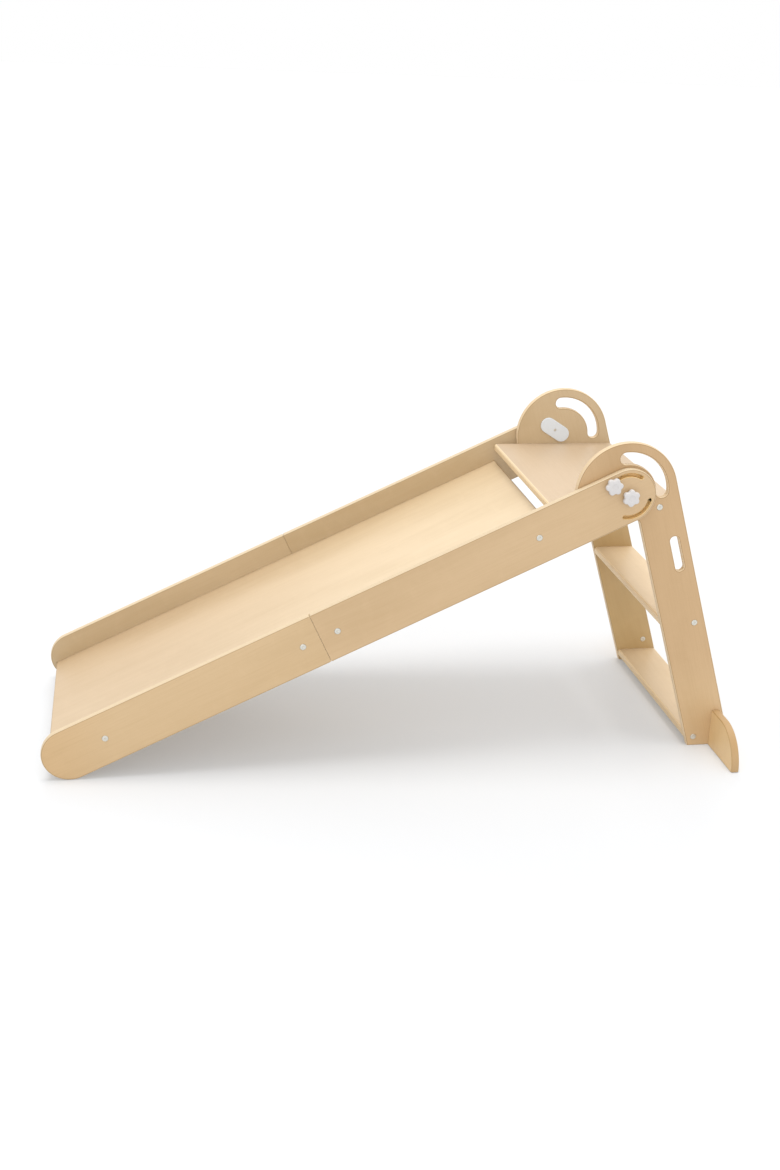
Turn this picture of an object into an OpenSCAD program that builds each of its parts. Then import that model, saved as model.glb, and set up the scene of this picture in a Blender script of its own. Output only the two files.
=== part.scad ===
// Folding toddler slide in birch plywood: a two-step ladder with a standing
// platform, and a trough-shaped slide hinged to it by star-knob screws.
// +X towards the ladder, +Y to the right of a child going down (who faces -X
// and has -Y on the left), +Z up. Origin on the floor, in the middle of the
// whole footprint.

/* [Slide] */
// Width over the two side panels
slide_w = 540; // [480:5:600]
// Height of a side panel, also the diameter of its rounded ends
side_h = 120; // [110:1:130]
// Thickness of the side panels
side_t = 15; // [15:1:18]
// Thickness of the sliding board
board_t = 12; // [10:1:12]
// Angle of the slide above the floor
slide_angle = 24.9; // [23:0.1:26]
// Distance from the hinge axis to the butt joint of the side panels
seam_s = 727; // [700:1:740]
// Distance from the hinge axis to the upper end of the sliding board
board_start = 176; // [176:1:185]

/* [Ladder] */
// Height of the hinge axis above the floor
pivot_z = 614; // [600:1:630]
// Radius of the half-round head, centred on the hinge axis
head_r = 114; // [112:1:116]
// Width of a leg, square to its length
leg_w = 100; // [98:1:102]
// Lean of the legs from the vertical
leg_angle = 17.3; // [16:0.1:18]
// Thickness of the ladder side panels
ladder_t = 15; // [15:1:18]
// Thickness of the platform and the steps
step_t = 18; // [16:1:18]
// Height of the platform's top face above the floor
platform_z = 592; // [590:1:592]
// Height of the middle step's top face above the floor
middle_z = 318; // [300:1:330]
// Height of the bottom step's top face above the floor
bottom_z = 31; // [28:1:40]
// Distance the platform reaches in front of the hinge axis
platform_reach = 169.5; // [150:0.5:170]
// Reach of each outrigger foot beyond the leg
foot_reach = 141; // [120:1:150]
// Height of each outrigger foot
foot_h = 89; // [80:1:95]

/* [Hinge] */
// Gap between the ladder panels and the slide panels
side_gap = 1.2; // [1.2:0.1:2]
// Distance from the pivot screw to the lock screw
lock_r = 47.5; // [46:0.5:48]
// Diameter of the star knobs over their lobes
knob_d = 38; // [36:1:40]

/* [Hidden] */
$fn = 96;

birch = "burlywood";
steel = "lightsteelblue";
pale = "gainsboro";

side_r = side_h / 2;
// the rounded lower end of the slide rests on the floor
slide_len = (pivot_z - side_r) / sin(slide_angle);
leg_o0 = head_r - leg_w;                 // leg front edge, behind the hinge axis
foot_x0 = 257; foot_t = 18;              // outrigger plate, behind the hinge axis
x_front = slide_len * cos(slide_angle) + side_r;
x_back = pivot_z * tan(leg_angle) + head_r / cos(leg_angle);
px = (x_front - x_back) / 2;             // hinge axis in the part's own frame

y_so = slide_w / 2;                      // slide panel, outer face
y_si = y_so - side_t;                    // slide panel, inner face
y_lo = y_si - side_gap;                  // ladder panel, outer face
y_li = y_lo - ladder_t;                  // ladder panel, inner face

groove = 5;                              // depth of the board's grooves
board_end = slide_len + 49;              // lower end of the sliding board
bolts_s = [212, seam_s - 40, seam_s + 41, 1232];

// connector bolts: flat head sunk 2 mm, 0.5 mm proud
head_d = 13.5; head_t = 2.5; sink = 2; shank_r = 3;
barrel_r = 5;

// arc slots and lock screw, as angles about the hinge axis
slot_w = 8.6;
slot_a0 = 36; slot_a1 = 123;             // from the slide's upper end
lock_a = slide_angle + 122.6;            // lock screw, from +X at rest
spare_a = -16.5;                         // spare lock hole in the ladder panel
lock_x = lock_r * cos(lock_a);
lock_z = lock_r * sin(lock_a);

// handle slot in the ladder heads, angles from +X at rest
grip_r = 79; grip_w = 26; grip_a0 = 3; grip_a1 = 96;
// hand slot in the legs, distances down and behind from the hinge axis
hand_s0 = 130; hand_s1 = 214; hand_o = 82; hand_w = 20;

// steps: [lowest x, highest x, top z] about the hinge axis
function leg_x(z, o) = (pivot_z - z) * tan(leg_angle) + o / cos(leg_angle);
plat_x0 = -platform_reach;
plat_x1 = leg_x(platform_z - step_t / 2, head_r) - 1;
mid_x0 = leg_x(middle_z - step_t / 2, leg_o0) + 1;
mid_x1 = leg_x(middle_z - step_t / 2, head_r) - 1;
bot_x0 = leg_x(bottom_z - step_t / 2, leg_o0) + 2;
bot_x1 = leg_x(bottom_z - step_t / 2, head_r) - 2;
// [x about the hinge axis, z above the floor] of each fastening
step_bolt_xz = [
    [-78, platform_z - step_t / 2], [77, platform_z - step_t / 2],
    [mid_x1 - 25, middle_z - step_t / 2], [bot_x0 + 18, bottom_z - step_t / 2]
];
step_dowel_xz = [
    [0, platform_z - step_t / 2],
    [mid_x0 + 28, middle_z - step_t / 2], [bot_x0 + 42, bottom_z - step_t / 2]
];

// ---- helpers ----

module right() { children(); }
module left() { mirror([0, 1, 0]) children(); }
module both() { right() children(); left() children(); }

// frames with the hinge axis as their origin
module at_pivot() { translate([px, 0, pivot_z]) children(); }
module in_slide() { at_pivot() rotate([0, -slide_angle, 0]) children(); }
module in_ladder() { at_pivot() rotate([0, -leg_angle, 0]) children(); }

// extrude an X-Z outline from y0 to y1
module slab(y0, y1) {
    translate([0, y1, 0]) rotate([90, 0, 0]) linear_extrude(height = y1 - y0) children();
}
// rod along Y
module rod(x, z, r, y0, y1) {
    translate([x, y0, z]) rotate([-90, 0, 0]) cylinder(r = r, h = y1 - y0);
}
// arc slot about the hinge axis, cut from y0 to y1, ends rounded
function arc_pts(cx, cz, r, a0, a1, n) =
    [for (i = [0:n]) let (a = a0 + (a1 - a0) * i / n) [cx + r * cos(a), cz + r * sin(a)]];
module arc_slot(r, w, a0, a1, y0, y1) {
    slab(y0, y1) polygon(concat(
        arc_pts(0, 0, r + w / 2, a0, a1, 28),
        arc_pts(r * cos(a1), r * sin(a1), w / 2, a1 + 12, a1 + 168, 13),
        arc_pts(0, 0, r - w / 2, a1, a0, 28),
        arc_pts(r * cos(a0), r * sin(a0), w / 2, a0 + 192, a0 + 348, 13)));
}

// ---- slide ----

module slide_board() {
    color(birch) in_slide() difference() {
        translate([-board_end, -y_si - groove + 0.3, -board_t / 2])
            cube([board_end - board_start, 2 * (y_si + groove - 0.3), board_t]);
        for (s = bolts_s) both() {
            rod(-s, 0, shank_r + 0.1, y_si - 36, y_so);
            translate([-s, y_si - 30, -board_t]) cylinder(r = barrel_r + 0.05, h = board_t + 4.2);
        }
    }
}

// one side panel between two distances down the slide, on the +Y side
module side_panel(s0, s1, upper) {
    in_slide() difference() {
        slab(y_si, y_so) union() {
            translate([-s1, -side_r]) square([s1 - s0, side_h]);
            if (upper) circle(r = side_r);
            else translate([-s1, 0]) circle(r = side_r);
        }
        // groove for the board
        translate([-board_end - 0.2, y_si - 1, -board_t / 2 - 0.1])
            cube([board_end - board_start + 0.4, groove + 1, board_t + 0.2]);
        for (s = bolts_s) {
            rod(-s, 0, shank_r + 0.1, y_si - 1, y_so + 1);
            rod(-s, 0, head_d / 2 + 0.2, y_so - sink, y_so + 1);
        }
        for (o = [-34, 34]) translate([-seam_s - 21, y_si + side_t / 2, o])
            rotate([0, 90, 0]) cylinder(r = 4.05, h = 42);
        if (upper) {
            rod(0, 0, 4.05, y_si - 1, y_so + 1);
            arc_slot(lock_r, slot_w, slot_a0, slot_a1, y_si - 1, y_so + 1);
            arc_slot(lock_r, slot_w, -slot_a1, -slot_a0, y_si - 1, y_so + 1);
        }
    }
}
module side_panel_upper_right() { color(birch) right() side_panel(0, seam_s - 0.2, true); }
module side_panel_upper_left() { color(birch) left() side_panel(0, seam_s - 0.2, true); }
module side_panel_lower_right() { color(birch) right() side_panel(seam_s + 0.2, slide_len, false); }
module side_panel_lower_left() { color(birch) left() side_panel(seam_s + 0.2, slide_len, false); }

// connector bolt along +Y: its head's outer face is at y, its shank runs back
module bolt(x, z, y, len) {
    difference() {
        union() {
            rod(x, z, head_d / 2, y - head_t, y);
            rod(x, z, shank_r, y - head_t - len, y - head_t);
        }
        // hex socket
        translate([x, y - 1.8, z]) rotate([-90, 0, 0]) cylinder(d = 4.6, h = 3, $fn = 6);
    }
}
// cross nut, its axis along Z, tapped across along Y
module barrel_nut(x, y, z, len) {
    difference() {
        translate([x, y, z - len / 2]) cylinder(r = barrel_r, h = len);
        rod(x, z, shank_r + 0.02, y - 6, y + 6);
    }
}

module slide_bolts() {
    color(steel) in_slide() both() for (s = bolts_s)
        bolt(-s, 0, y_so - sink + head_t, 45);
}
module slide_barrel_nuts() {
    color(steel) in_slide() both() for (s = bolts_s) barrel_nut(-s, y_si - 30, 0, 8);
}
module seam_dowels() {
    color("tan") in_slide() both() for (o = [-34, 34])
        translate([-seam_s - 20, y_si + side_t / 2, o]) rotate([0, 90, 0]) cylinder(r = 4, h = 40);
}

// ---- ladder ----

// outline of a ladder side panel, about the hinge axis, in X-Z: the half-round
// head, cut level a little below the platform, and the leg, whose rear edge is
// tangent to the head and whose front edge meets the head in a fillet
module ladder_outline() {
    base = -60;
    web = 12;
    cx = leg_x(pivot_z + base, leg_o0) - web / sin(53.65) * cos(53.65);
    polygon(concat(
        arc_pts(0, 0, head_r, 180 - asin(base / head_r), leg_angle, 72),
        [[leg_x(0, head_r), -pivot_z], [leg_x(0, leg_o0), -pivot_z]],
        arc_pts(cx, base - web, web, leg_angle, 90, 10)));
}

module ladder_panel() {
    difference() {
        at_pivot() difference() {
            slab(y_li, y_lo) ladder_outline();
            // insert nuts for the two screws, and clearance for their studs
            for (p = [[0, 0], [lock_x, lock_z]]) {
                rod(p[0], p[1], 4.5, y_li - 1, y_lo + 1);
                rod(p[0], p[1], 6.05, y_li - 1, y_li + 13);
                rod(p[0], p[1], 9.1, y_li - 1, y_li + 1.5);
            }
            // cover screw
            rod(lock_x / 2, lock_z / 2, 1.55, y_li - 1, y_li + 10);
            // spare lock hole, blind from the outer face
            rod(lock_r * cos(spare_a), lock_r * sin(spare_a), 4.25, y_lo - 12, y_lo + 1);
            // handle slot
            arc_slot(grip_r, grip_w, grip_a0, grip_a1, y_li - 1, y_lo + 1);
        }
        // hand slot in the leg
        in_ladder() {
            for (s = [hand_s0 + hand_w / 2, hand_s1 - hand_w / 2])
                rod(hand_o, -s, hand_w / 2, y_li - 1, y_lo + 1);
            translate([hand_o - hand_w / 2, y_li - 1, -hand_s1 + hand_w / 2])
                cube([hand_w, ladder_t + 2, hand_s1 - hand_s0 - hand_w]);
        }
        translate([px, 0, 0]) {
            for (p = step_bolt_xz) {
                rod(p[0], p[1], shank_r + 0.1, y_li - 1, y_lo + 1);
                rod(p[0], p[1], head_d / 2 + 0.2, y_lo - sink, y_lo + 1);
            }
            for (p = step_dowel_xz) rod(p[0], p[1], 4.05, y_li - 1, y_li + 10.5);
            // foot fastenings, bolted from the inside
            rod(foot_x0 + foot_t / 2, 57, shank_r + 0.1, y_li - 1, y_lo + 1);
            rod(foot_x0 + foot_t / 2, 57, head_d / 2 + 0.2, y_li - 1, y_li + sink);
            rod(foot_x0 + foot_t / 2, 22, 4.05, y_lo - 10.5, y_lo + 1);
        }
    }
}
module ladder_panel_right() { color(birch) right() ladder_panel(); }
module ladder_panel_left() { color(birch) left() ladder_panel(); }

// a tread between the two ladder panels, with its long edges rounded over
module tread(x0, x1, top, r, bolts, dowels) {
    translate([px, 0, 0]) difference() {
        slab(-y_li, y_li) union() {
            translate([x0 + r, top - step_t]) square([x1 - x0 - 2 * r, step_t]);
            translate([x0, top - step_t + r]) square([x1 - x0, step_t - 2 * r]);
            for (x = [x0 + r, x1 - r]) for (z = [top - r, top - step_t + r])
                translate([x, z]) circle(r = r);
        }
        for (p = bolts) both() {
            rod(p[0], p[1], shank_r + 0.1, y_li - 36, y_li + 1);
            translate([p[0], y_li - 28, top - step_t - 1]) cylinder(r = barrel_r + 0.05, h = 15);
        }
        for (p = dowels) both() rod(p[0], p[1], 4.05, y_li - 20.5, y_li + 1);
    }
}
module platform() {
    color(birch) tread(plat_x0, plat_x1, platform_z, 6,
        [step_bolt_xz[0], step_bolt_xz[1]], [step_dowel_xz[0]]);
}
module middle_step() {
    color(birch) tread(mid_x0, mid_x1, middle_z, 6, [step_bolt_xz[2]], [step_dowel_xz[1]]);
}
module bottom_step() {
    color(birch) tread(bot_x0, bot_x1, bottom_z, 6, [step_bolt_xz[3]], [step_dowel_xz[2]]);
}

// outrigger: a plate square to the leg's outer face, its outer end a quarter round
module foot() {
    translate([px + foot_x0, 0, 0]) difference() {
        translate([0, y_lo, 0]) rotate([90, 0, 90]) linear_extrude(height = foot_t) union() {
            square([foot_reach - foot_h, foot_h]);
            intersection() {
                translate([foot_reach - foot_h, 0]) circle(r = foot_h);
                translate([foot_reach - foot_h - 1, 0]) square([foot_h + 1, foot_h + 1]);
            }
        }
        rod(foot_t / 2, 57, shank_r + 0.1, y_lo - 1, y_lo + 36);
        translate([3, y_lo + 28, 57]) rotate([0, 90, 0]) cylinder(r = barrel_r + 0.05, h = foot_t - 2);
        rod(foot_t / 2, 22, 4.05, y_lo - 1, y_lo + 20.5);
    }
}
module foot_right() { color(birch) right() foot(); }
module foot_left() { color(birch) left() foot(); }

module step_bolts() {
    color(steel) translate([px, 0, 0]) both() for (p = step_bolt_xz)
        bolt(p[0], p[1], y_lo - sink + head_t, 45);
}
module step_barrel_nuts() {
    color(steel) translate([px, 0, 0]) both() for (p = step_bolt_xz)
        translate([0, 0, 0]) barrel_nut(p[0], y_li - 28, p[1], 8);
}
module step_dowels() {
    color("tan") translate([px, 0, 0]) both() for (p = step_dowel_xz)
        rod(p[0], p[1], 4, y_li - 20, y_li + 10);
}
module foot_bolts() {
    color(steel) translate([px + foot_x0 + foot_t / 2, 0, 0]) both()
        translate([0, 2 * y_li + 2 * sink - head_t, 0]) mirror([0, 1, 0])
            bolt(0, 57, y_li + sink, 45);
}
module foot_barrel_nuts() {
    color(steel) both() difference() {
        translate([px + foot_x0 + foot_t / 2 - 4, y_lo + 28, 57]) rotate([0, 90, 0])
            cylinder(r = barrel_r, h = 8);
        translate([px + foot_x0 + foot_t / 2, 0, 0]) rod(0, 57, shank_r + 0.02, y_lo + 20, y_lo + 36);
    }
}
module foot_dowels() {
    color("tan") both() translate([px + foot_x0 + foot_t / 2, 0, 0])
        rod(0, 22, 4, y_lo - 10, y_lo + 20);
}

// ---- hinge and lock hardware ----

module insert_nuts() {
    color(steel) at_pivot() both() for (p = [[0, 0], [lock_x, lock_z]]) difference() {
        union() {
            rod(p[0], p[1], 6, y_li + 1, y_li + 12.8);
            rod(p[0], p[1], 9, y_li, y_li + 1.5);
        }
        rod(p[0], p[1], 4.02, y_li - 1, y_li + 14);
    }
}
cover_r = 19; cover_t = 4; cover_l = 79;
module nut_cover() {
    at_pivot() difference() {
        slab(y_li - cover_t, y_li) union() {
            rotate(lock_a) translate([lock_r / 2, 0]) {
                for (e = [-1, 1]) translate([e * (cover_l / 2 - cover_r), 0]) circle(r = cover_r);
                square([cover_l - 2 * cover_r, 2 * cover_r], center = true);
            }
        }
        rod(lock_x / 2, lock_z / 2, 1.75, y_li - 5, y_li + 1);
        rod(lock_x / 2, lock_z / 2, 3.2, y_li - cover_t - 1, y_li - cover_t + 1.6);
        for (p = [[0, 0], [lock_x, lock_z]]) rod(p[0], p[1], 4.5, y_li - 1.5, y_li + 1);
    }
}
module nut_cover_right() { color(pale) right() nut_cover(); }
module nut_cover_left() { color(pale) left() nut_cover(); }
module cover_screws() {
    color(steel) at_pivot() both() difference() {
        union() {
            rod(lock_x / 2, lock_z / 2, 3, y_li - cover_t, y_li - cover_t + 1.6);
            rod(lock_x / 2, lock_z / 2, 1.5, y_li - cover_t + 1.6, y_li + 9.5);
        }
        translate([lock_x / 2, y_li - cover_t - 1, lock_z / 2]) rotate([-90, 0, 0])
            cylinder(d = 2.4, h = 2.1, $fn = 6);
    }
}
module gap_washers() {
    color(pale) at_pivot() both() for (p = [[0, 0], [lock_x, lock_z]]) difference() {
        rod(p[0], p[1], 12, y_lo, y_lo + side_gap - 0.2);
        rod(p[0], p[1], 4.3, y_lo - 1, y_lo + side_gap + 1);
    }
}

wash_t = 2;
// washer under a knob, at [x, z] about the hinge axis
module knob_washer(p) {
    at_pivot() difference() {
        rod(p[0], p[1], 12, y_so + 0.1, y_so + 0.1 + wash_t);
        rod(p[0], p[1], 4.1, y_so - 1, y_so + 4);
    }
}
// six-lobed star knob with a boss, moulded round its stud, one lobe at the angle turn
module star_knob(p, turn) {
    y0 = y_so + 0.2 + wash_t;
    core = knob_d / 2 - 5;
    at_pivot() difference() {
        union() {
            rod(p[0], p[1], 9.5, y0, y0 + 6);
            rod(p[0], p[1], core, y0 + 5, y0 + 16);
            for (i = [0:5]) rod(p[0] + (knob_d / 2 - 5.2) * cos(60 * i + turn),
                p[1] + (knob_d / 2 - 5.2) * sin(60 * i + turn), 5.2, y0 + 5, y0 + 15);
        }
        rod(p[0], p[1], 4, y0 - 1, y0 + 11);
    }
}
module stud(p) {
    at_pivot() rod(p[0], p[1], 3.97, y_li + 1.5, y_so + 0.2 + wash_t + 10.9);
}

module pivot_knob_right() { color(pale) right() star_knob([0, 0], 30); }
module pivot_knob_left() { color(pale) left() star_knob([0, 0], 30); }
module pivot_stud_right() { color(steel) right() stud([0, 0]); }
module pivot_stud_left() { color(steel) left() stud([0, 0]); }
module pivot_washer_right() { color(steel) right() knob_washer([0, 0]); }
module pivot_washer_left() { color(steel) left() knob_washer([0, 0]); }
module lock_knob_right() { color(pale) right() star_knob([lock_x, lock_z], 10); }
module lock_knob_left() { color(pale) left() star_knob([lock_x, lock_z], 10); }
module lock_stud_right() { color(steel) right() stud([lock_x, lock_z]); }
module lock_stud_left() { color(steel) left() stud([lock_x, lock_z]); }
module lock_washer_right() { color(steel) right() knob_washer([lock_x, lock_z]); }
module lock_washer_left() { color(steel) left() knob_washer([lock_x, lock_z]); }

slide_board();
side_panel_upper_left();
side_panel_upper_right();
side_panel_lower_left();
side_panel_lower_right();
slide_bolts();
slide_barrel_nuts();
seam_dowels();
ladder_panel_left();
ladder_panel_right();
platform();
middle_step();
bottom_step();
foot_left();
foot_right();
step_bolts();
step_barrel_nuts();
step_dowels();
foot_bolts();
foot_barrel_nuts();
foot_dowels();
insert_nuts();
nut_cover_left();
nut_cover_right();
cover_screws();
gap_washers();
pivot_knob_left();
pivot_knob_right();
pivot_stud_left();
pivot_stud_right();
pivot_washer_left();
pivot_washer_right();
lock_knob_left();
lock_knob_right();
lock_stud_left();
lock_stud_right();
lock_washer_left();
lock_washer_right();
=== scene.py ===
"""Looks for the folding toddler slide in birch plywood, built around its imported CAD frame."""
import math

import bmesh
import bpy
from mathutils import Matrix, Vector
from mathutils.geometry import tessellate_polygon


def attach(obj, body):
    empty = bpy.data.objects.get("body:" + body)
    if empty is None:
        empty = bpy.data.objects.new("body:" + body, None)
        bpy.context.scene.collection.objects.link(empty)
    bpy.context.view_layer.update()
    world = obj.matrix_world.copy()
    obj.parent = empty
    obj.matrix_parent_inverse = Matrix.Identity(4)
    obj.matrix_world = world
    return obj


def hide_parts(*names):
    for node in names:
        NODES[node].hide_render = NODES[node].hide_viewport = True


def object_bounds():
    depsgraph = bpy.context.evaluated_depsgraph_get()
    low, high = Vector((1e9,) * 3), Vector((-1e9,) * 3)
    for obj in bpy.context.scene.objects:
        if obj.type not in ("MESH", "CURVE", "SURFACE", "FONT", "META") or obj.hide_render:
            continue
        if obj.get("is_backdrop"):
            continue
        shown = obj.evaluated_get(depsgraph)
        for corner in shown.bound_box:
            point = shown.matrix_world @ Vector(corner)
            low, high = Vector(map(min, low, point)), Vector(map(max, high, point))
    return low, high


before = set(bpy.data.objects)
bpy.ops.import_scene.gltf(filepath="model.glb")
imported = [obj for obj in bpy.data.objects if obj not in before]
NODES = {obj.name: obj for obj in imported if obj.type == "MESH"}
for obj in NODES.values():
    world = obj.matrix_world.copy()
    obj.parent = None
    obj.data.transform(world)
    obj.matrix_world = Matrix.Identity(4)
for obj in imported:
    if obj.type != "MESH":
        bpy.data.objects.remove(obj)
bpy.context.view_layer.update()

# ---------------------------------------------------------------- sizes, mm
A, B = math.radians(24.9), math.radians(17.3)
SIDE_R, SIDE_T, BOARD_T = 60.0, 15.0, 12.0
SEAM, BOARD_START = 727.0, 176.0
PIVOT_Z, HEAD_R, LEG_W = 614.0, 114.0, 100.0
LEG_O0 = HEAD_R - LEG_W
SLIDE_LEN = (PIVOT_Z - SIDE_R) / math.sin(A)
X_FRONT = SLIDE_LEN * math.cos(A) + SIDE_R
X_BACK = PIVOT_Z * math.tan(B) + HEAD_R / math.cos(B)
PX = (X_FRONT - X_BACK) / 2
Y_SO, Y_SI = 270.0, 255.0
Y_LO, Y_LI = 253.8, 238.8
GROOVE = 5.0
BOARD_END = SLIDE_LEN + 49
BOLTS_S = [212.0, SEAM - 40, SEAM + 41, 1232.0]
LOCK_R, LOCK_A = 47.5, 24.9 + 122.6
LOCK = (LOCK_R * math.cos(math.radians(LOCK_A)), LOCK_R * math.sin(math.radians(LOCK_A)))
SLOT_END = (LOCK_R * math.cos(math.radians(24.9 - 36)), LOCK_R * math.sin(math.radians(24.9 - 36)))
SPARE = (LOCK_R * math.cos(math.radians(-16.5)), LOCK_R * math.sin(math.radians(-16.5)))
PLAT_Z, MID_Z, BOT_Z, STEP_T = 592.0, 318.0, 31.0, 18.0
FOOT_X, FOOT_T, FOOT_REACH, FOOT_H = 257.0, 18.0, 141.0, 89.0


def leg_x(z, o):
    return (PIVOT_Z - z) * math.tan(B) + o / math.cos(B)


PLAT_X = (-169.5, leg_x(PLAT_Z - 9, HEAD_R) - 1)
MID_X = (leg_x(MID_Z - 9, LEG_O0) + 1, leg_x(MID_Z - 9, HEAD_R) - 1)
BOT_X = (leg_x(BOT_Z - 9, LEG_O0) + 2, leg_x(BOT_Z - 9, HEAD_R) - 2)
STEP_BOLTS = [(-78.0, PLAT_Z - 9), (77.0, PLAT_Z - 9), (MID_X[1] - 25, MID_Z - 9), (BOT_X[0] + 18, BOT_Z - 9)]

# the hinge axis in the row frame, mm
PIVOT = Vector((PX, 0, PIVOT_Z))


def at_pivot(x, y, z):
    return Vector((PX + x, y, PIVOT_Z + z))


def in_slide(x, y, z):
    """x up the slide's axis, z square to the board, from the hinge axis."""
    return at_pivot(x * math.cos(A) - z * math.sin(A), y, x * math.sin(A) + z * math.cos(A))


def ladder_xz(o, s):
    """A point o behind and s down the leg's own axes, as x, z about the hinge axis."""
    return (o * math.cos(B) + s * math.sin(B), o * math.sin(B) - s * math.cos(B))


# ---------------------------------------------------------------- outlines
def arc(cx, cz, r, a0, a1, n):
    out = []
    for i in range(n + 1):
        a = math.radians(a0 + (a1 - a0) * i / n)
        out.append((cx + r * math.cos(a), cz + r * math.sin(a)))
    return out


def soft(points, arris):
    """Plain points of a loop with one arris radius."""
    return [(x, z, arris) for x, z in points]


def circle(cx, cz, r, arris, n=48):
    return soft(arc(cx, cz, r, 0, 360, n)[:-1], arris)


def corners(vs):
    """A closed loop from (x, z, corner radius, arris before, arris after)."""
    out, n = [], len(vs)
    for i, (x, z, rc, a0, a1) in enumerate(vs):
        if rc <= 0:
            out.append((x, z, (a0 + a1) / 2))
            continue
        p, q, s = Vector((x, z)), Vector(vs[i - 1][:2]), Vector(vs[(i + 1) % n][:2])
        d0, d1 = (q - p).normalized(), (s - p).normalized()
        half = d0.angle(d1) / 2
        reach = rc / math.tan(half)
        c = p + (d0 + d1).normalized() * (rc / math.sin(half))
        t0, t1 = p + d0 * reach - c, p + d1 * reach - c
        b0, b1 = math.atan2(t0.y, t0.x), math.atan2(t1.y, t1.x)
        turn = (b1 - b0 + math.pi) % (2 * math.pi) - math.pi
        m = max(3, int(abs(turn) / math.radians(11)))
        for k in range(m + 1):
            a = b0 + turn * k / m
            out.append((c.x + rc * math.cos(a), c.y + rc * math.sin(a), a0 + (a1 - a0) * k / m))
    return out


def arc_slot(r, w, a0, a1, arris, n=32, m=10):
    e0 = (r * math.cos(math.radians(a0)), r * math.sin(math.radians(a0)))
    e1 = (r * math.cos(math.radians(a1)), r * math.sin(math.radians(a1)))
    pts = arc(0, 0, r + w / 2, a0, a1, n)
    pts += arc(e1[0], e1[1], w / 2, a1 + 180 / m, a1 + 180 - 180 / m, m - 2)
    pts += arc(0, 0, r - w / 2, a1, a0, n)
    pts += arc(e0[0], e0[1], w / 2, a0 + 180 + 180 / m, a0 + 360 - 180 / m, m - 2)
    return soft(pts, arris)


def area(loop):
    return sum(loop[i - 1][0] * p[1] - p[0] * loop[i - 1][1] for i, p in enumerate(loop)) / 2


# ---------------------------------------------------------------- meshes
def finish_mesh(name, verts, faces, normals, mat, body, replaced):
    me = bpy.data.meshes.new(name)
    me.from_pydata([tuple(v * 0.001) for v in verts], [], faces)
    me.polygons.foreach_set("use_smooth", [True] * len(me.polygons))
    if normals is not None:
        me.normals_split_custom_set([tuple(n) for ns in normals for n in ns])
    me.materials.append(mat)
    me.update()
    ob = bpy.data.objects.new(name, me)
    bpy.context.scene.collection.objects.link(ob)
    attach(ob, body)
    if replaced:
        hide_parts(*replaced)
    return ob


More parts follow.
